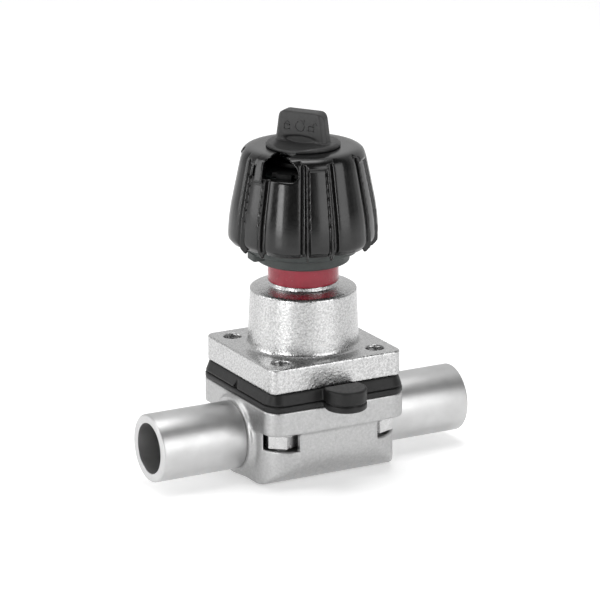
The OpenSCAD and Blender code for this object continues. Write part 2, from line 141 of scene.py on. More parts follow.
def outline(u, v, corners):
    """Distance to a closed outline in a plane, negative inside."""
    best = np.full(np.shape(u), 1e9)
    inside = np.zeros(np.shape(u), bool)
    for (u0, v0), (u1, v1) in zip(corners, corners[1:] + corners[:1]):
        du, dv = u1 - u0, v1 - v0
        wu, wv = u - u0, v - v0
        t = np.clip((wu * du + wv * dv) / (du * du + dv * dv), 0, 1)
        best = np.minimum(best, (wu - t * du) ** 2 + (wv - t * dv) ** 2)
        if dv:
            inside ^= ((v0 > v) != (v1 > v)) & (u < u0 + wv * du / dv)
    return np.where(inside, -1, 1) * np.sqrt(best)


def ramp(value, start, end):
    t = np.clip((value - start) / (end - start), 0, 1)
    return t * t * (3 - 2 * t)


def studs(x, y):
    """Distance from the nearest stud's axis."""
    return np.hypot(np.abs(x) - STUD_X, np.abs(y) - STUD_Y)


# ---------------------------------------------------------------- meshing

CORNERS = [(i, j, k) for i in (0, 1) for j in (0, 1) for k in (0, 1)]


def corner_of(grid, shift):
    """The grid's values at one corner of every cell."""
    return grid[tuple(slice(s, s + n - 1) for s, n in zip(shift, grid.shape))]


def crossing_points(value, mixed):
    """The middle of the crossings on each mixed cell's edges, in cells from its low corner."""
    total = np.zeros((mixed.sum(), 3))
    hits = np.zeros(mixed.sum())
    for axis in range(3):
        for shift in CORNERS:
            if shift[axis]:
                continue
            end = tuple(s + (a == axis) for a, s in enumerate(shift))
            a, b = corner_of(value, shift)[mixed], corner_of(value, end)[mixed]
            cut = (a < 0) != (b < 0)
            point = np.tile(np.array(shift, float), (len(a), 1))
            point[:, axis] += np.where(cut, a / np.where(cut, a - b, 1), 0)
            total += point * cut[:, None]
            hits += cut
    return total / hits[:, None]


def crossing_quads(index, inside, spans):
    """A quad around each grid edge whose ends lie on two sides of the surface."""
    cells = index.shape
    quads = []
    for axis in range(3):
        u, v = (axis + 1) % 3, (axis + 2) % 3
        here = [slice(1, n) for n in cells]
        here[axis] = slice(0, spans[axis])
        ahead = list(here)
        ahead[axis] = slice(1, spans[axis] + 1)
        around = []
        for du, dv in ((1, 1), (0, 1), (0, 0), (1, 0)):
            pick = list(here)
            pick[u] = slice(1 - du, cells[u] - du)
            pick[v] = slice(1 - dv, cells[v] - dv)
            around.append(index[tuple(pick)])
        around = np.stack(around, -1)
        first, second = inside[tuple(here)], inside[tuple(ahead)]
        quads.append(around[first & ~second])
        quads.append(around[~first & second][:, ::-1])
    return np.concatenate(quads)


def surface_net(field, low, high, step, wrap=False):
    """Vertices and quads on the surface where field(x, y, z) is zero, inside a box.

    With wrap, the far end of the first axis is joined to its near end."""
    axes = [np.arange(low[i], high[i] + step[i], step[i]) for i in range(3)]
    value = field(*np.meshgrid(*axes, indexing="ij"))
    inside = value < 0
    count = sum(corner_of(inside, shift).astype(np.int8) for shift in CORNERS)
    mixed = (count > 0) & (count < len(CORNERS))
    index = np.full(mixed.shape, -1)
    index[mixed] = np.arange(mixed.sum())
    origin = np.array([axis[0] for axis in axes])
    points = (np.argwhere(mixed) + crossing_points(value, mixed)) * step + origin
    spans = index.shape
    if wrap:
        index = np.concatenate([index, index[:1]])
        inside = np.concatenate([inside, inside[1:2]])
    return points, crossing_quads(index, inside, spans)


def gradient(field, points):
    """The field's slope at each point."""
    reach = 0.02
    sides = [np.eye(3)[i] * reach for i in range(3)]
    return np.stack([(field(*(points + s).T) - field(*(points - s).T)) / (2 * reach) for s in sides], 1)


def settle(field, points, step):
    """Moves each vertex onto the surface."""
    for _ in range(3):
        slope = gradient(field, points)
        steep = np.maximum((slope ** 2).sum(1), 0.05)
        move = -(field(*points.T) / steep)[:, None] * slope
        length = np.linalg.norm(move, axis=1, keepdims=True)
        points = points + move * np.minimum(1, 0.4 * step / np.maximum(length, 1e-9))
    return points


def make_piece(name, points, faces, sharp=None):
    """A mesh object from millimetres; edges over sharp degrees stay hard."""
    mesh = bpy.data.meshes.new(name)
    mesh.from_pydata((np.asarray(points) * MM).tolist(), [], [list(f) for f in faces])
    mesh.validate()
    mesh.shade_smooth()
    if sharp:
        mesh.set_sharp_from_angle(angle=math.radians(sharp))
    piece = bpy.data.objects.new(name, mesh)
    scene.collection.objects.link(piece)
    return piece


def shape_piece(name, field, low, high, step):
    """A piece meshed from a distance field on a square grid."""
    margin = 2 * step
    points, quads = surface_net(field, np.array(low) - margin, np.array(high) + margin, [step] * 3)
    return make_piece(name, settle(field, points, step), quads.tolist())


def turned_piece(name, field, start, radii, heights, columns, step):
    """A piece around +Z, meshed on a grid of angles, radii and heights so that ribs stay crisp."""
    def unrolled(turn, r, z):
        return field(r * np.cos(turn), r * np.sin(turn), z)

    turn_step = 2 * math.pi / columns
    first = math.radians(start)
    low = (first, radii[0] - 2 * step, heights[0] - 2 * step)
    high = (first + 2 * math.pi - turn_step / 2, radii[1] + 2 * step, heights[1] + 2 * step)
    points, quads = surface_net(unrolled, low, high, (turn_step, step, step), wrap=True)
    turn, r, z = points.T
    points = np.stack([r * np.cos(turn), r * np.sin(turn), z], 1)
    return make_piece(name, settle(field, points, step), quads.tolist())


def lathe(profile, turns=144):
    """Vertices and faces of a closed (radius, height) outline turned about +Z."""
    angles = np.arange(turns) * 2 * np.pi / turns
    points = [(r * math.cos(a), r * math.sin(a), z) for r, z in profile for a in angles]
    faces = []
    n = len(profile)
    for i in range(n):
        a, b = i * turns, (i + 1) % n * turns
        for k in range(turns):
            m = (k + 1) % turns
            faces.append((a + k, a + m, b + m, b + k))
    return np.array(points), faces


def soften(profile, r, steps=4):
    """Rounds each corner of a closed outline by about r."""
    out = []
    n = len(profile)
    for i in range(n):
        before, here, after = (np.array(profile[(i + d) % n], float) for d in (-1, 0, 1))
        back, on = before - here, after - here
        reach = min(r, 0.45 * np.linalg.norm(back), 0.45 * np.linalg.norm(on))
        start = here + back / np.linalg.norm(back) * reach
        end = here + on / np.linalg.norm(on) * reach
        for t in np.linspace(0, 1, steps):
            out.append(tuple((1 - t) ** 2 * start + 2 * t * (1 - t) * here + t ** 2 * end))
    return out


def ring_around(centre, along, r, sides):
    """Points of a circle that a path goes through."""
    side = np.cross(along, (0.12, 0.07, 0.99))  # no path here runs along this direction
    side /= np.linalg.norm(side)
    other = np.cross(along, side)
    turns = [2 * math.pi * k / sides for k in range(sides)]
    return [centre + r * (math.cos(a) * side + math.sin(a) * other) for a in turns]


def tube(path, r, closed, sides=8):
    """Vertices and faces of a round rod along a path."""
    path = np.array(path, float)
    n = len(path)
    points, faces = [], []
    for i in range(n):
        if closed:
            along = path[(i + 1) % n] - path[i - 1]
        else:
            along = path[min(i + 1, n - 1)] - path[max(i - 1, 0)]
        points += ring_around(path[i], along / np.linalg.norm(along), r, sides)
    for i in range(n if closed else n - 1):
        for k in range(sides):
            a, b = i * sides, (i + 1) % n * sides
            m = (k + 1) % sides
            faces.append((a + k, b + k, b + m, a + m))
    if not closed:
        faces.append(tuple(range(sides)))
        faces.append(tuple(range(n * sides - 1, (n - 1) * sides - 1, -1)))
    return np.array(points), faces


def join(parts):
    """One set of vertices and faces from several."""
    points, faces = [], []
    start = 0
    for p, f in parts:
        points.append(p)
        faces += [tuple(i + start for i in face) for face in f]
        start += len(p)
    return np.concatenate(points), faces


def place(piece, body, slot, *replaced):
    """Paints a finished piece, fixes it to its body and lets it stand for CAD nodes."""
    piece.data.materials.append(FINISHES[slot])
    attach(piece, body)
    if replaced:
        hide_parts(*replaced)
    return piece


# ---------------------------------------------------------------- materials

class Paint:
    """A procedural material: tone, roughness and bump that vary over the surface."""

    def __init__(self, name, metallic=0.0, **sockets):
        self.material = bpy.data.materials.new(name)
        self.material.use_nodes = True
        self.tree = self.material.node_tree
        self.shader = self.tree.nodes["Principled BSDF"]
        self.shader.inputs["Metallic"].default_value = metallic
        for socket, value in sockets.items():
            self.shader.inputs[socket.replace("_", " ")].default_value = value
        self.place = self.tree.nodes.new("ShaderNodeTexCoord").outputs["Object"]
        self.normal = None

    def stretched(self, scale):
        mapping = self.tree.nodes.new("ShaderNodeMapping")
        mapping.inputs["Scale"].default_value = scale
        self.tree.links.new(self.place, mapping.inputs["Vector"])
        return mapping.outputs["Vector"]

    def noise(self, size, detail=3, rough=0.55, stretch=(1, 1, 1)):
        """Cloudy noise; size is the width of a blotch in millimetres."""
        node = self.tree.nodes.new("ShaderNodeTexNoise")
        node.inputs["Scale"].default_value = 1 / (size * MM)
        node.inputs["Detail"].default_value = detail
        node.inputs["Roughness"].default_value = rough
        self.tree.links.new(self.stretched(stretch), node.inputs["Vector"])
        return node.outputs["Fac"]

    def cells(self, size):
        """Grains of one size, in millimetres."""
        node = self.tree.nodes.new("ShaderNodeTexVoronoi")
        node.feature = "SMOOTH_F1"
        node.inputs["Scale"].default_value = 1 / (size * MM)
        self.tree.links.new(self.place, node.inputs["Vector"])
        return node.outputs["Distance"]

    def spread(self, value, low, high, start=0.3, end=0.7):
        node = self.tree.nodes.new("ShaderNodeMapRange")
        node.inputs["From Min"].default_value = start
        node.inputs["From Max"].default_value = end
        node.inputs["To Min"].default_value = low
        node.inputs["To Max"].default_value = high
        self.tree.links.new(value, node.inputs["Value"])
        return node.outputs["Result"]

    def tone(self, value, dark, light, start=0.3, end=0.7):
        node = self.tree.nodes.new("ShaderNodeValToRGB")
        node.color_ramp.elements[0].position = start
        node.color_ramp.elements[0].color = (*dark, 1)
        node.color_ramp.elements[1].position = end
        node.color_ramp.elements[1].color = (*light, 1)
        self.tree.links.new(value, node.inputs["Fac"])
        self.tree.links.new(node.outputs["Color"], self.shader.inputs["Base Color"])
        return self

    def roughness(self, value, low, high):
        self.tree.links.new(self.spread(value, low, high), self.shader.inputs["Roughness"])
        return self

    def bump(self, value, depth):
        """Adds relief; depth is its height in millimetres."""
        node = self.tree.nodes.new("ShaderNodeBump")
        node.inputs["Distance"].default_value = depth * MM
        self.tree.links.new(value, node.inputs["Height"])
        if self.normal:
            self.tree.links.new(self.normal, node.inputs["Normal"])
        self.normal = node.outputs["Normal"]
        self.tree.links.new(self.normal, self.shader.inputs["Normal"])
        return self


def grey(level):
    return level, level, level


def make_cast_steel():
    paint = Paint("cast_steel", metallic=1.0)
    paint.tone(paint.noise(0.9, 5, 0.7), grey(0.37), grey(0.49))
    paint.roughness(paint.noise(1.5), 0.33, 0.43)
    paint.bump(paint.noise(3.5, 2), 0.05).bump(paint.noise(0.5, 2, 0.6), 0.05)
    return paint.material


def make_bonnet_steel():
    paint = Paint("bonnet_steel", metallic=1.0)
    paint.tone(paint.noise(0.6, 3, 0.65), grey(0.40), grey(0.60), 0.36, 0.60)
    paint.roughness(paint.noise(0.8), 0.22, 0.34)
    paint.bump(paint.noise(2.6, 3), 0.10).bump(paint.noise(0.7, 2, 0.6), 0.11)
    return paint.material


def make_turned_steel():
    paint = Paint("turned_steel", metallic=1.0)
    paint.tone(paint.noise(9, 3), grey(0.52), grey(0.60))
    paint.roughness(paint.noise(3, 3), 0.37, 0.42)
    paint.bump(paint.noise(0.5, 2, stretch=(3, 1, 1)), 0.0016)
    return paint.material


def make_fastener_steel():
    paint = Paint("fastener_steel", metallic=1.0)
    paint.tone(paint.noise(2.5, 3), grey(0.50), grey(0.62))
    paint.roughness(paint.noise(0.6), 0.24, 0.36)
    paint.bump(paint.noise(0.4, 2), 0.008)
    return paint.material


# Painted shade: the inner parts seen through the locking window get this near-black steel, which stands in for the
# shade inside the window.
def make_window_shade_steel():
    paint = Paint("dark_steel", metallic=1.0)
    paint.tone(paint.noise(1.5, 3), grey(0.010), grey(0.022))
    paint.roughness(paint.noise(0.5), 0.45, 0.6)
    paint.bump(paint.noise(0.3, 2), 0.006)
    return paint.material


def make_bronze():
    paint = Paint("bronze", metallic=1.0)
    paint.tone(paint.noise(3, 4), (0.52, 0.33, 0.13), (0.68, 0.46, 0.22))
    paint.roughness(paint.noise(0.7), 0.28, 0.42)
    paint.bump(paint.noise(0.4, 2), 0.008)
    return paint.material


def make_black_rubber():
    paint = Paint("black_rubber", IOR=1.40)
    paint.tone(paint.noise(4, 4), grey(0.004), grey(0.008))
    paint.roughness(paint.noise(0.8), 0.40, 0.52)
    paint.bump(paint.noise(2.2, 2), 0.03).bump(paint.noise(0.22, 2), 0.010)
    return paint.material


def make_black_plastic():
    paint = Paint("black_plastic", IOR=1.52)
    paint.tone(paint.noise(6, 4), grey(0.002), grey(0.0035))
    paint.roughness(paint.noise(1.0), 0.19, 0.26)
    paint.bump(paint.cells(0.42), 0.006).bump(paint.noise(5, 2), 0.02)
    return paint.material


def make_key_plastic():
    paint = Paint("key_plastic", IOR=1.50)
    paint.tone(paint.noise(5, 4), grey(0.022), grey(0.032))
    paint.roughness(paint.noise(0.9), 0.42, 0.55)
    paint.bump(paint.cells(0.35), 0.012).bump(paint.noise(3, 2), 0.02)
    return paint.material


def make_grey_plastic():
    paint = Paint("grey_plastic", IOR=1.50)
    paint.tone(paint.noise(5, 4), (0.020, 0.024, 0.023), (0.030, 0.036, 0.034))
    paint.roughness(paint.noise(0.9), 0.45, 0.60)
    paint.bump(paint.cells(0.4), 0.012)
    return paint.material


def make_red_plastic():
    paint = Paint("red_plastic", IOR=1.50)
    paint.tone(paint.noise(4, 4), (0.23, 0.006, 0.020), (0.29, 0.010, 0.028))
    paint.roughness(paint.noise(0.8), 0.20, 0.28)
    paint.bump(paint.noise(0.35, 2), 0.008)
    return paint.material


def make_floor_paint():
    paint = Paint("floor_paint")
    paint.tone(paint.noise(60, 2), grey(0.90), grey(0.92))
    paint.roughness(paint.noise(20), 0.60, 0.72)
    paint.shader.inputs["Emission Color"].default_value = (1, 1, 1, 1)
    paint.shader.inputs["Emission Strength"].default_value = 0.36
    return paint.material


FINISHES = {
    "cast_steel": make_cast_steel(), "bonnet_steel": make_bonnet_steel(),
    "turned_steel": make_turned_steel(), "fastener_steel": make_fastener_steel(),
    "dark_steel": make_window_shade_steel(), "bronze": make_bronze(),
    "black_rubber": make_black_rubber(), "black_plastic": make_black_plastic(),
    "key_plastic": make_key_plastic(), "grey_plastic": make_grey_plastic(),
    "red_plastic": make_red_plastic(),
}


# ---------------------------------------------------------------- body and pipe ends

BLOCK = (FLANGE_X - 0.1, FLANGE_Y - 0.1)
BLOCK_R = 13.0                                  # upright corners of the casting under the flange
BELLY_R = 12.5                                  # its long lower edges
HEEL_R = 1.5                                    # its short lower edges
POCKET_R = 6.15
POCKET_LOW = AXIS_Z - 0.6
RUN_OUT = 2.8                                   # half width of a pocket where it leaves the long side
WELD_RING_R = 12.2
BORE_END = 15                                   # each bore stops this far from the spindle's axis
PASSAGE_R = 6.7
PASSAGE_LEAN = math.radians(45.7)
PASSAGE_FOOT = 19                               # where a passage's axis crosses the pipe's axis
PASSAGE_MIDDLE = 10                             # along its axis from its foot
PASSAGE_HALF = 12
BOWL_R = 13.2
BOWL_CURVE_R = 13.5                             # the bowl's curve across the weir


def body_block(x, y, z):
    """The casting under the flange: round upright corners and wide rounds along its lower edges."""
    tall = 40                                   # more than the casting's height, which the flange cuts off
    upright = rectangle(x, y, *BLOCK, BLOCK_R)
    belly = rectangle(y, z - tall, BLOCK[1], tall, BELLY_R)
    heel = rectangle(x, z - tall, BLOCK[0], tall, HEEL_R)
    solid = smooth_max(smooth_max(upright, belly, 1.2), heel, 1.0)
    return np.maximum(solid, z - SEAT_Z + 1)


def nut_pockets(x, y, z):
    """Four round pockets under the flange that run out through the long sides."""
    side = np.maximum(np.abs(np.abs(x) - STUD_X) - RUN_OUT, STUD_Y - np.abs(y))
    return slab(np.minimum(studs(x, y) - POCKET_R, side), z, POCKET_LOW, FLANGE_Z, 0.4)


def waterway(x, y, z):
    """The bores, slanting passages, and bowl above the weir."""
    off_axis = np.hypot(y, z - AXIS_Z)
    bore = np.maximum(off_axis - BORE_R, BORE_END - np.abs(x))
    c, s = math.cos(PASSAGE_LEAN), math.sin(PASSAGE_LEAN)
    u, w = np.abs(x) - PASSAGE_FOOT, z - AXIS_Z
    along = -u * c + w * s
    apart = np.hypot(u * s + w * c, y)
    passage = np.maximum(apart - PASSAGE_R, np.abs(along - PASSAGE_MIDDLE) - PASSAGE_HALF)
    bowl = np.maximum(np.hypot(y, z - WEIR_Z - BOWL_CURVE_R) - BOWL_CURVE_R, np.hypot(x, y) - BOWL_R)
    return smooth_min(smooth_min(bore, passage, 0.8), bowl, 0.8)


def body_field(x, y, z):
    flange = slab(rectangle(x, y, FLANGE_X, FLANGE_Y, FLANGE_ROUND), z, FLANGE_Z, SEAT_Z, 0.45)
    weld_rings = slab(np.hypot(y, z - AXIS_Z) - WELD_RING_R, np.abs(x), -1, BODY_HIGH[0], 0.7)
    solid = smooth_min(body_block(x, y, z), weld_rings, 2.2)
    solid = smooth_max(solid, -nut_pockets(x, y, z), 0.6)
    solid = smooth_min(solid, flange, 0.9)
    solid = smooth_max(solid, -waterway(x, y, z), 0.6)
    stud_holes = np.maximum(studs(x, y) - STUD_R - STUD_PLAY, FLANGE_Z - 1 - z)
    return np.maximum(solid, -stud_holes)


def make_body():
    piece = shape_piece("valve_casting", body_field, BODY_LOW, BODY_HIGH, 0.42)
    place(piece, "valve_body", "cast_steel", "body")


def make_spigot(name, side):
    """A turned tube with a fine bevel on its open end."""
    outer, inner = 0.4, 0.15                    # widths of the bevels
    profile = soften([
        (BORE_R, SPIGOT_START), (TUBE_R, SPIGOT_START), (TUBE_R, SPIGOT_END - outer),
        (TUBE_R - outer, SPIGOT_END), (BORE_R + inner, SPIGOT_END), (BORE_R, SPIGOT_END - inner)], 0.25)
    points, faces = lathe(profile, 192)
    points = np.stack([side * points[:, 2], points[:, 1], AXIS_Z + side * points[:, 0]], 1)
    piece = make_piece(name + "_turned", points, faces, sharp=40)
    place(piece, "valve_body", "turned_steel", name)


# ---------------------------------------------------------------- diaphragm

EAR_R = 6.5
EAR_Y = RIM_LOW[1] + EAR_R
EAR_NECK_Y = -23                                # middle of the neck between ear and rim
EAR_NECK = (3.6, 3.5)                           # its half width and half length
RIM_HOLE_R = 13.4
GROOVE_Z = SEAT_Z + 1.95                        # the groove around the rim, between lip and band
GROOVE_DEEP = 0.75
BAND_LEAN = 0.36                                # how fast the band leans in above the groove
NOSE_GROOVE_DEEP = 0.55
NOTCH_HALF = 1.45
NOTCH_LEAN = 0.42
NOTCH_DEEP = 1.1


def ear_outline(x, y):
    """The marking ear on the -Y side, with its neck."""
    neck = rectangle(x, y - EAR_NECK_Y, *EAR_NECK, 1.0)
    return smooth_min(np.hypot(x, y - EAR_Y) - EAR_R, neck, 3.5)


def rim_notch(x, y, z):
    """A narrowing notch above the groove on the inlet side."""
    width = np.abs(y) + (z - SEAT_Z - 1.9) * NOTCH_LEAN - NOTCH_HALF
    return np.maximum(width, np.maximum(GROOVE_Z - z, x + FLANGE_X - NOTCH_DEEP))


def diaphragm_field(x, y, z):
    flat = rectangle(x, y, FLANGE_X, FLANGE_Y, FLANGE_ROUND)
    ear = ear_outline(x, y)
    both = smooth_min(flat, ear, 2.5)
    lip = slab(both, z, SEAT_Z, GROOVE_Z - 0.15, 0.4)
    leaning = flat + np.maximum(z - GROOVE_Z - 0.3, 0) * BAND_LEAN + 0.15
    band = slab(smooth_min(leaning, ear + 0.12, 2.0), z, GROOVE_Z + 0.1, RIM_TOP, 0.35)
    core = np.maximum(both + GROOVE_DEEP, np.abs(z - GROOVE_Z) - 1)
    nose = slab(np.maximum(ear, y + FLANGE_Y + 0.2), z, SEAT_Z - 0.3, RIM_HIGH[2], 0.6)
    nose_groove = np.maximum(np.abs(z - GROOVE_Z) - 0.28, -(ear + NOSE_GROOVE_DEEP))
    nose = np.maximum(nose, -nose_groove)
    solid = np.minimum(np.minimum(lip, band), np.minimum(core, nose))
    solid = np.maximum(solid, -rim_notch(x, y, z))
    holes = np.minimum(np.hypot(x, y) - RIM_HOLE_R, studs(x, y) - STUD_R - STUD_PLAY)
    return np.maximum(solid, -holes)


def make_diaphragm():
    piece = shape_piece("diaphragm_rim", diaphragm_field, RIM_LOW, RIM_HIGH, 0.33)
    place(piece, "valve_body", "black_rubber", "diaphragm")


WEB_R = RIM_HOLE_R - 0.02
WEB_TOP = box_mm("diaphragm_web")[1][2] - SEAT_Z
# Outlines of the flexing middle: radius, and height above the seat
SKIN = [(0.05, -0.77), (2, -0.63), (3.6, -0.28), (6, 0.8), (8, 1.25), (10, 1.6), (11.4, 1.95), (WEB_R, 2.1),
        (WEB_R, 3.7), (9.6, 3.3), (6.2, 2.5), (4.2, 2.4), (4.2, 0.8), (0.05, 0.8)]
SKIN_BOSS = [(2.5, 2.4), (4.2, 2.4), (6.2, 2.5), (6.2, WEB_TOP), (2.5, WEB_TOP)]


def web_piece(name, profile):
    """A turned piece from an outline given above the seat."""
    raised = [(r, SEAT_Z + z) for r, z in soften(profile, 0.12)]
    return make_piece(name, *lathe(raised, 96), sharp=40)


def make_web():
    """A skin that bends down from the clamped rim, and a thick boss that moves with the compressor."""
    outer = web_piece("diaphragm_skin", SKIN)
    outer.data.materials.append(FINISHES["black_rubber"])
    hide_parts("diaphragm_web")
    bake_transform(outer)
    inner = web_piece("diaphragm_boss", SKIN_BOSS)
    place(inner, "compressor_unit", "black_rubber")


# ---------------------------------------------------------------- bonnet

BONNET_TOP = RIM_TOP + 8                        # top of the bonnet's flange
NECK_TOP = BONNET_HIGH[2]
BOSS_FOOT_R = 17.35
BOSS_HEAD_R = 16.56
SLIDE_R = 12.1                                  # bore that the compressor slides in
BUSH_RING_R = 12.9                              # groove of the bush's retaining ring
BUSH_RING_Z = BUSH_LOW - 1.1
BUSH_FLANGE_TOP = BUSH_LOW + 1.5
BUSH_R = 8.5
SLEEVE_R = 10.4
BOSS = [(0, BONNET_TOP - 3), (BOSS_FOOT_R, BONNET_TOP - 3), (BOSS_FOOT_R, BONNET_TOP + 0.9),
        (BOSS_HEAD_R, NECK_TOP - 2.6), (15.9, NECK_TOP - 2.15), (11.6, NECK_TOP - 1.35),
        (NECK_R, NECK_TOP - 1.2), (NECK_R, NECK_TOP), (0, NECK_TOP)]
BONNET_HOLLOW = [(0, RIM_TOP - 2), (SLIDE_R, RIM_TOP - 2), (SLIDE_R, BUSH_RING_Z), (BUSH_RING_R, BUSH_RING_Z),
                 (BUSH_RING_R, BUSH_LOW), (SLIDE_R, BUSH_LOW), (SLIDE_R, BUSH_FLANGE_TOP),
                 (BUSH_R, BUSH_FLANGE_TOP), (BUSH_R, BUSH_TOP), (SLEEVE_R, BUSH_TOP),
                 (SLEEVE_R, NECK_TOP + 2), (0, NECK_TOP + 2)]
GUIDE_SLOTS = (14, 1.6)                         # half length and half width of the guide pins' slots
BADGE_Y = 9
BADGE_HALF = 3.2
BADGE_R = 2.6
BADGE_RISE = 0.12


def badge_field(x, y, z):
    """A plain raised strip with round ends on the inlet side of the flange."""
    strip = np.hypot(np.maximum(np.abs(y - BADGE_Y) - BADGE_HALF, 0), z - RIM_TOP - 4) - BADGE_R
    return np.maximum(strip, np.abs(x + BONNET_HIGH[0]) - BADGE_RISE)


def bonnet_field(x, y, z):
    r = np.hypot(x, y)
    flange = slab(rectangle(x, y, BONNET_HIGH[0], BONNET_HIGH[1], 2.8), z, RIM_TOP, BONNET_TOP, 0.55)
    tower = outline(r, z, BOSS) - 0.02
    solid = smooth_min(flange, tower, 1.5)
    solid = smooth_min(solid, badge_field(x, y, z), 0.15)
    solid = np.maximum(solid, -outline(r, z, BONNET_HOLLOW))
    guides = slab(rectangle(x, y, *GUIDE_SLOTS, 0.1), z, RIM_TOP - 1, RIM_TOP + 9, 0.1)
    solid = np.maximum(solid, -guides)
    return smooth_max(solid, STUD_R + 0.12 - studs(x, y), 0.5)


def make_bonnet():
    piece = shape_piece("bonnet_casting", bonnet_field, BONNET_LOW, BONNET_HIGH, 0.38)
    place(piece, "valve_body", "bonnet_steel", "bonnet")


def make_position_ring():
    inner = NECK_R - 0.6
    profile = soften([(inner, RING_LOW), (NECK_R, RING_LOW), (NECK_R, RING_TOP), (inner, RING_TOP)], 0.15)
    piece = make_piece("position_ring", *lathe(profile, 192), sharp=40)
    place(piece, "valve_body", "red_plastic", "position_indicator")


# ---------------------------------------------------------------- handwheel

PANEL_TURN = LOCK + 35                          # direction of the middle of a recessed panel
PANEL_STEP = 60                                 # degrees from one panel to the next
SHOULDER_Z = WHEEL_TOP - 3.5
WHEEL_OUTSIDE = soften([
    (0, WHEEL_LOW - 0.6), (22.0, WHEEL_LOW - 0.6), (22.5, WHEEL_LOW + 0.1), (23.3, WHEEL_LOW + 1.0),
    (WHEEL_R, WHEEL_LOW + 1.9), (WHEEL_R, WHEEL_LOW + 3.0), (23.2, WHEEL_LOW + 7.3),
    (22.6, WHEEL_LOW + 11.5), (21.8, WHEEL_LOW + 15.4), (20.75, WHEEL_LOW + 20.6),
    (19.75, SHOULDER_Z - 0.6), (19.3, SHOULDER_Z + 1.0), (18.7, SHOULDER_Z + 2.2),
    (17.9, SHOULDER_Z + 2.95), (16.9, SHOULDER_Z + 3.35), (15.5, SHOULDER_Z + 3.5), (0, WHEEL_TOP)], 2.5, 5)
WHEEL_HOLLOW = [(0, WHEEL_LOW - 2), (19.8, WHEEL_LOW - 2), (19.8, WHEEL_LOW + 2), (18.7, WHEEL_LOW + 2),
                (18.5, WHEEL_LOW + 7.5), (17.4, HUB_TOP - 3.1), (17.4, HUB_TOP), (16.6, HUB_TOP),
                (16.6, WHEEL_TOP - 1.9), (0, WHEEL_TOP - 1.9)]
# Depth of the grip's surface under its widest outline, by degrees from a panel's middle
GRIP_TURN = [0, 7.5, 8.33, 9.17, 10, 10.83, 11.67, 12.5, 14.17, 15, 15.83, 18.3, 20.8, 25, 30]
GRIP_DEPTH = [1.0, 1.02, 1.5, 0.8, 0.3, 0.6, 1.65, 1.9, 1.9, 1.3, 0.7, 0.42, 0.25, 0.07, 0]
# Where the recesses end, under the wheel's top, by the same degrees
GRIP_END = ([0, 8.6, 9.4, 12, 15.5, 16.5], [3.0, 3.0, 2.0, 1.7, 1.4, 0.45])
BEAD_TURN = 10.2                                # degrees from a panel's middle to each bead
BEAD_DROP = 1.2                                 # how far a bead hangs under the wheel's rim
POST_TURNS = (-27, -18)                         # edges of the flat post left of the window
SCREW_TURNS = (-75, 20, 115)
SCREW_CIRCLE_R = 13.6
SCREW_POST_R = 2.6
SCREW_HOLE_R = 1.25
SCREW_HOLE_DEEP = 4.2
MIDDLE_POST_R = 8
KEY_BORE_R = 6.06
# The locking window: millimetres to the right of its middle, and height
WINDOW = [(-6.1, HUB_TOP + 0.3), (4.4, HUB_TOP + 0.3), (5.5, HUB_TOP + 1.2), (5.75, HUB_TOP + 2.6),
          (5.3, HUB_TOP + 4.0), (4.1, HUB_TOP + 5.5), (2.2, HUB_TOP + 6.7), (0, HUB_TOP + 7.4),
          (-2.6, HUB_TOP + 7.5), (-4.6, HUB_TOP + 6.6), (-6.1, HUB_TOP + 5.0)]
SLIT_TURN = LOCK - 32
SLIT_Z = 2.2                                    # middle of the slit above the hub
SLIT_HALF = (1.5, 1.8)


def turned(x, y, degrees):
    """Distance out along a direction, and to the right of it as seen from outside."""
    c, s = direction(degrees)
    return x * c + y * s, -x * s + y * c


def from_panel(x, y):
    """Degrees from the middle of the nearest panel."""
    turn = np.degrees(np.arctan2(y, x))
    return np.abs((turn - PANEL_TURN + PANEL_STEP / 2) % PANEL_STEP - PANEL_STEP / 2)


def screws(x, y):
    """Distance from the nearest hub screw's axis."""
    ways = [direction(turn) for turn in SCREW_TURNS]
    return np.minimum.reduce([np.hypot(x - SCREW_CIRCLE_R * c, y - SCREW_CIRCLE_R * s) for c, s in ways])


def flat_post(x, y, z):
    """1 on the flat post beside the window, 0 away from it."""
    beside = (np.degrees(np.arctan2(y, x)) - LOCK + 180) % 360 - 180
    left, right = [ramp(beside, turn - 0.5, turn + 0.5) for turn in POST_TURNS]
    return left * (1 - right) * ramp(z, HUB_TOP - 1.2, HUB_TOP - 0.6)


def grip_depth(x, y, z):
    apart = from_panel(x, y)
    end = WHEEL_TOP - np.interp(apart, *GRIP_END)
    depth = np.interp(apart, GRIP_TURN, GRIP_DEPTH) * np.clip((end - z) / 0.45, 0, 1)
    post = flat_post(x, y, z)
    return depth * (1 - post) + 0.1 * post


def bead_drop(x, y, z):
    """How far the outline hangs down at a bead, fading out 8 mm above the rim."""
    drop = BEAD_DROP * ramp(-np.abs(from_panel(x, y) - BEAD_TURN), -1.3, -0.7)
    return drop * np.clip((WHEEL_LOW + 8 - z) / 8, 0, 1) * ramp(np.hypot(x, y), 20.2, 20.8)


def wheel_room(x, y, z, r):
    """The hollow inside the shell, around its middle post and its screw posts."""
    posts = np.minimum(r - MIDDLE_POST_R, np.maximum(screws(x, y) - SCREW_POST_R, HUB_TOP - z))
    posts = np.maximum(posts, np.where(r < MIDDLE_POST_R + 0.5, CAM_TOP + 0.22 - z, -1))
    return np.maximum(outline(r, z, WHEEL_HOLLOW), -posts)


def cut_openings(solid, x, y, z):
    """Takes the locking window and the slit beside it out of the shell."""
    out, side = turned(x, y, LOCK)
    solid = smooth_max(solid, -np.maximum(outline(side, z, WINDOW) + 0.05, 8 - out), 0.35)
    out, side = turned(x, y, SLIT_TURN)
    slit = np.maximum(np.abs(side) - SLIT_HALF[0], np.abs(z - HUB_TOP - SLIT_Z) - SLIT_HALF[1])
    return smooth_max(solid, -np.maximum(slit, 14.6 - out), 0.3)


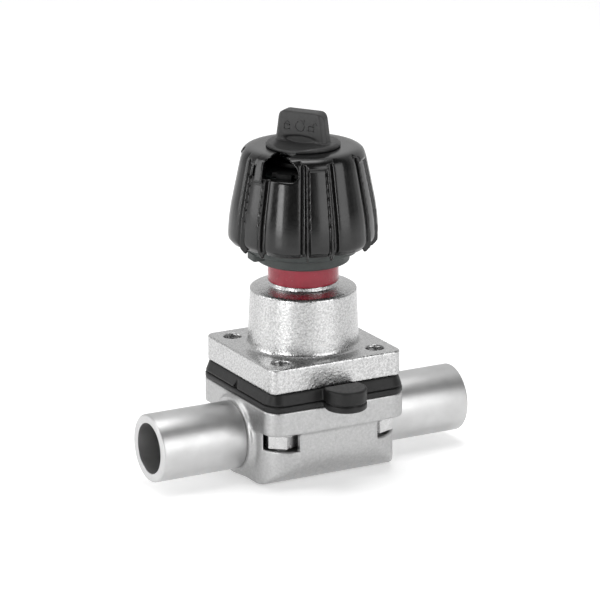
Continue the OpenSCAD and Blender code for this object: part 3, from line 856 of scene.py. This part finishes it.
def handwheel_field(x, y, z):
    r = np.hypot(x, y)
    widest = r + grip_depth(x, y, z) * ramp(r, 15, 17)
    solid = outline(widest, z + bead_drop(x, y, z), WHEEL_OUTSIDE) - 0.02
    solid = np.maximum(solid, -wheel_room(x, y, z, r))
    screw_holes = np.maximum(screws(x, y) - SCREW_HOLE_R, z - HUB_TOP - SCREW_HOLE_DEEP)
    solid = cut_openings(np.maximum(solid, -screw_holes), x, y, z)
    return np.maximum(solid, KEY_BORE_R - r)


def make_handwheel():
    radii, heights = (KEY_BORE_R, WHEEL_R), (WHEEL_LOW - 1.9, WHEEL_TOP)
    piece = turned_piece("handwheel_shell", handwheel_field, PANEL_TURN, radii, heights, 432, 0.5)
    place(piece, "handwheel_unit", "black_plastic", "handwheel")


def make_collar():
    """A stepped ring with a small lug."""
    low, tier, rim = COLLAR_LOW, WHEEL_LOW - 3.5, WHEEL_LOW + 0.1
    bore = NECK_R + 0.35
    profile = soften([
        (bore, low), (12.7, low), (14.4, low + 0.7), (14.4, tier), (17.0, tier), (17.6, tier + 0.7),
        (17.6, rim), (19.65, rim), (19.65, COLLAR_TOP), (bore, COLLAR_TOP)], 0.35)
    lug = lug_shape(LOCK - 45, tier - 1.8, tier + 0.8)
    piece = make_piece("collar_ring", *join([lathe(profile, 192), lug]), sharp=38)
    place(piece, "handwheel_unit", "grey_plastic", "handwheel_collar")


def lug_shape(turn, low, high):
    """A small block with rounded corners on the collar's outside."""
    middle, half_out, half_side, bevel = 15.7, 2.1, 2.6, 0.3
    inner, outer = middle - half_out, middle + half_out
    flat = soften([(inner, -half_side), (outer, -half_side), (outer, half_side), (inner, half_side)], 0.8, 5)
    c, s = direction(turn)
    rings = []
    for z, grow in ((low, -bevel), (low + bevel, 0), (high - bevel, 0), (high, -bevel)):
        for u, v in flat:
            out = middle + (u - middle) * (1 + grow / half_out)
            side = v * (1 + grow / half_side)
            rings.append((out * c - side * s, out * s + side * c, z))
    n = len(flat)
    faces = [(a * n + k, a * n + (k + 1) % n, (a + 1) * n + (k + 1) % n, (a + 1) * n + k)
             for a in range(3) for k in range(n)]
    faces.append(tuple(range(n - 1, -1, -1)))
    faces.append(tuple(range(3 * n, 4 * n)))
    return np.array(rings), faces


# ---------------------------------------------------------------- lock key

PLATE_Z = WHEEL_TOP + 0.1
PLATE_TOP = PLATE_Z + 1.4
PLATE_R = 11.5
KEY_TOP = KEY_HIGH[2]
TAB_FOOT = 8.8                                  # half width of the tab at its foot
TAB_HEAD = 7.5                                  # and at its top
TAB_HALF = 2.5                                  # half its thickness
TAB_ROUND = 2.4
TAB_TURN = LOCK - 5                             # direction that the tab's face looks in
SCOOP = (6.6, 7.4, 1.75)                        # half sizes of the hollow beside the tab
SCOOP_OUT = 7.0
SCOOP_STOP = 1.9                                # keeps the hollow off the key's screw
BARREL_R = 6.0
SEAL_GROOVE = (5.58, 0.48)                      # radius of the seal's groove, and its own radius
TANG_HALF = 3
SCREW_R = 1.5
SCREW_DEEP = 5.6


def key_tab(out, side, z):
    """The grip tab, which narrows upwards."""
    half = np.interp(z, (PLATE_TOP, KEY_TOP), (TAB_FOOT, TAB_HEAD))
    middle, tall = (KEY_TOP + PLATE_Z) / 2, (KEY_TOP - PLATE_Z) / 2
    face = rectangle(side * TAB_HEAD / half, z - middle, TAB_HEAD, tall, TAB_ROUND)
    thick = np.abs(out) - TAB_HALF
    chamfer = (np.abs(side) - half + np.abs(out) - TAB_HALF + 1.1) * math.sqrt(0.5)
    tab = smooth_max(smooth_max(face, thick, 0.8), chamfer, 0.3)
    return np.maximum(tab, PLATE_Z + 0.3 - z)


def scoop(out, side, z):
    """The shallow hollow in the plate in front of the tab."""
    depth = SCOOP[2]
    p, q, w = (out - SCOOP_OUT) / SCOOP[0], side / SCOOP[1], (z - PLATE_TOP - 0.75) / depth
    return np.maximum((np.sqrt(p * p + q * q + w * w) - 1) * depth, SCOOP_STOP - out)


def key_field(x, y, z):
    r = np.hypot(x, y)
    out, side = turned(x, y, TAB_TURN)
    barrel = slab(r - BARREL_R, z, CAM_TOP, PLATE_TOP, 0.1)
    plate = outline(r, z, [(0, PLATE_Z), (PLATE_R, PLATE_Z), (PLATE_R, PLATE_Z + 0.8),
                           (PLATE_R - 0.6, PLATE_TOP - 0.1), (9.8, PLATE_TOP), (0, PLATE_TOP)])
    solid = smooth_min(np.minimum(barrel, plate), key_tab(out, side, z), 0.7)
    for way in (1, -1):
        solid = smooth_max(solid, -scoop(out * way, side, z), 0.35)
    seal_r, groove_r = SEAL_GROOVE
    solid = np.maximum(solid, -(np.hypot(r - seal_r, z - WHEEL_TOP + 1) - groove_r))
    across = [np.abs(v) - TANG_HALF for v in turned(x, y, LOCK)]
    tang = np.maximum(np.maximum(*across), np.abs(z - CAM_TOP) - 1.3)
    return np.maximum(np.minimum(solid, tang), -np.maximum(r - SCREW_R, z - CAM_TOP - SCREW_DEEP))


def make_key():
    piece = shape_piece("key_moulding", key_field, KEY_LOW, KEY_HIGH, 0.24)
    place(piece, "key_unit", "key_plastic", "lock_key")


MARK_Z = KEY_TOP - 4.5
MARK_R = 0.2                                    # half width of a sign's strokes
LOCK_MARK_AT = -4.3                             # places of the two padlocks along the tab
OPEN_MARK_AT = 3.9


def arc_points(cu, cv, r, start, end, steps=14):
    angles = np.radians(np.linspace(start, end, steps))
    return [(cu + r * math.cos(a), cv + r * math.sin(a)) for a in angles]


def padlock(cu, cv, lift):
    """Strokes of a plain padlock sign; lift opens its shackle."""
    half, low, high = 0.95, cv - 1.2, cv + 0.2
    case = [(cu - half, low), (cu + half, low), (cu + half, high), (cu - half, high)]
    shackle = arc_points(cu + lift * 1.3, cv + 0.55 + lift * 0.2, 0.62, -8 * lift, 180 + 20 * lift)
    return [(case, True), (shackle, False)]


def make_key_marks():
    """Plain signs on both faces of the tab: locked, turn, unlocked."""
    strokes = padlock(LOCK_MARK_AT, MARK_Z, 0) + padlock(OPEN_MARK_AT, MARK_Z, 1)
    strokes.append((arc_points(0, MARK_Z, 1.5, 110, 400, 22), False))
    strokes.append(([(0.3, MARK_Z + 1.9), (1.25, MARK_Z + 1.05), (1.7, MARK_Z + 2.0)], False))
    parts = []
    for way in (0, 180):
        c, s = direction(TAB_TURN + way)
        for flat, closed in strokes:
            path = [(TAB_HALF * c - u * s, TAB_HALF * s + u * c, v) for u, v in flat]
            parts.append(tube(path, MARK_R, closed))
    piece = make_piece("key_marks", *join(parts))
    place(piece, "key_unit", "key_plastic")


# ---------------------------------------------------------------- CAD nodes that keep their shape

def paint_cad_nodes():
    """Paints each CAD node that is shown and breaks its sharp edges."""
    slots = {row["node"]: row["material_slot"] for row in frame["record"]["subparts"]}
    for name, node in frame["nodes"].items():
        if node.hide_render:
            continue
        node.data.materials.clear()
        node.data.materials.append(FINISHES[slots[name]])
        weld = node.modifiers.new("weld", "WELD")
        weld.merge_threshold = 0.01 * MM
        edge = node.modifiers.new("edge", "BEVEL")
        edge.width = 0.12 * MM
        edge.segments = 2
        edge.limit_method = "ANGLE"
        edge.angle_limit = math.radians(35)


# ---------------------------------------------------------------- stage, light and camera

CAMERA_TURN = -118.63                           # direction of the camera about +Z from +X
CAMERA_LIFT = 16.19                             # degrees that it looks down
CAMERA_AWAY = 1.156
CAMERA_AIM_Z = 0.063
LENS = 223.8
LENS_SHIFT = (-0.0053, -0.0523)
FLOOR_HALF = 4000
FLOOR_Z = -0.05
LAMP_AWAY = 0.85                                # from the spindle's axis to each upright softbox
# Name, degrees round from the camera, width, height and power of the upright softboxes
SOFTBOXES = (
    ("left_softbox", -84, 0.40, 0.80, 3.2), ("near_softbox", -38, 0.24, 0.34, 1.9),
    ("right_softbox", 46, 0.66, 0.60, 3.1))


def make_floor():
    sides = ((-1, -1), (1, -1), (1, 1), (-1, 1))
    floor = make_piece("floor", [(x * FLOOR_HALF, y * FLOOR_HALF, FLOOR_Z) for x, y in sides], [(0, 1, 2, 3)])
    floor.data.materials.append(make_floor_paint())


def aim(thing, target):
    thing.rotation_euler = (target - thing.location).to_track_quat("-Z", "Y").to_euler()


def softbox(name, place_at, target, width, height, power):
    light = bpy.data.lights.new(name, "AREA")
    light.shape = "RECTANGLE"
    light.size = width
    light.size_y = height
    light.energy = power
    lamp = bpy.data.objects.new(name, light)
    lamp.location = place_at
    scene.collection.objects.link(lamp)
    aim(lamp, Vector(target))


def facing(tree, axis, start, end, low, high):
    """A value that rises from low to high as a direction turns towards an axis."""
    way = tree.nodes.new("ShaderNodeTexCoord").outputs["Generated"]
    dot = tree.nodes.new("ShaderNodeVectorMath")
    dot.operation = "DOT_PRODUCT"
    dot.inputs[1].default_value = axis
    tree.links.new(way, dot.inputs[0])
    spread = tree.nodes.new("ShaderNodeMapRange")
    spread.interpolation_type = "SMOOTHSTEP"
    for socket, value in (("From Min", start), ("From Max", end), ("To Min", low), ("To Max", high)):
        spread.inputs[socket].default_value = value
    tree.links.new(dot.outputs["Value"], spread.inputs["Value"])
    return spread.outputs["Result"]


def make_world():
    """Dark in front, light grey behind the object and bright overhead, all in fixed directions."""
    world = bpy.data.worlds.new("studio")
    world.use_nodes = True
    tree = world.node_tree
    behind = (*direction(CAMERA_TURN + 180), 0)
    brighter = tree.nodes.new("ShaderNodeMath")
    brighter.operation = "MAXIMUM"
    tree.links.new(facing(tree, behind, -0.2, 0.8, 0.08, 0.80), brighter.inputs[0])
    tree.links.new(facing(tree, (0, 0, 1), 0.86, 0.96, 0.0, 0.9), brighter.inputs[1])
    tree.links.new(brighter.outputs["Value"], tree.nodes["Background"].inputs["Color"])
    scene.world = world


def make_lights():
    """Three upright softboxes around the object and one overhead."""
    for name, turn, width, height, power in SOFTBOXES:
        x, y = direction(CAMERA_TURN + turn)
        stand = (LAMP_AWAY * x, LAMP_AWAY * y, height / 2 + 0.02)
        softbox(name, stand, (0, 0, 0.10), width, height, power)
    softbox("top_softbox", (0.05, 0.10, 1.1), (0, 0, 0.05), 0.6, 0.6, 4.0)


def make_camera():
    view = bpy.data.cameras.new("camera")
    view.lens = LENS
    view.sensor_width = 36
    view.shift_x, view.shift_y = LENS_SHIFT
    view.clip_end = 20
    camera = bpy.data.objects.new("camera", view)
    target = Vector((0, 0, CAMERA_AIM_Z))
    x, y = direction(CAMERA_TURN)
    level, up = direction(CAMERA_LIFT)
    camera.location = target + Vector((x * level, y * level, up)) * CAMERA_AWAY
    scene.collection.objects.link(camera)
    aim(camera, target)
    scene.camera = camera


def main():
    make_camera()
    make_floor()
    make_lights()
    make_world()
    make_body()
    make_spigot("inlet_spigot", -1)
    make_spigot("outlet_spigot", 1)
    make_diaphragm()
    make_web()
    make_bonnet()
    make_position_ring()
    make_handwheel()
    make_collar()
    make_key()
    make_key_marks()
    paint_cad_nodes()
    scene.view_settings.view_transform = "Standard"


main()
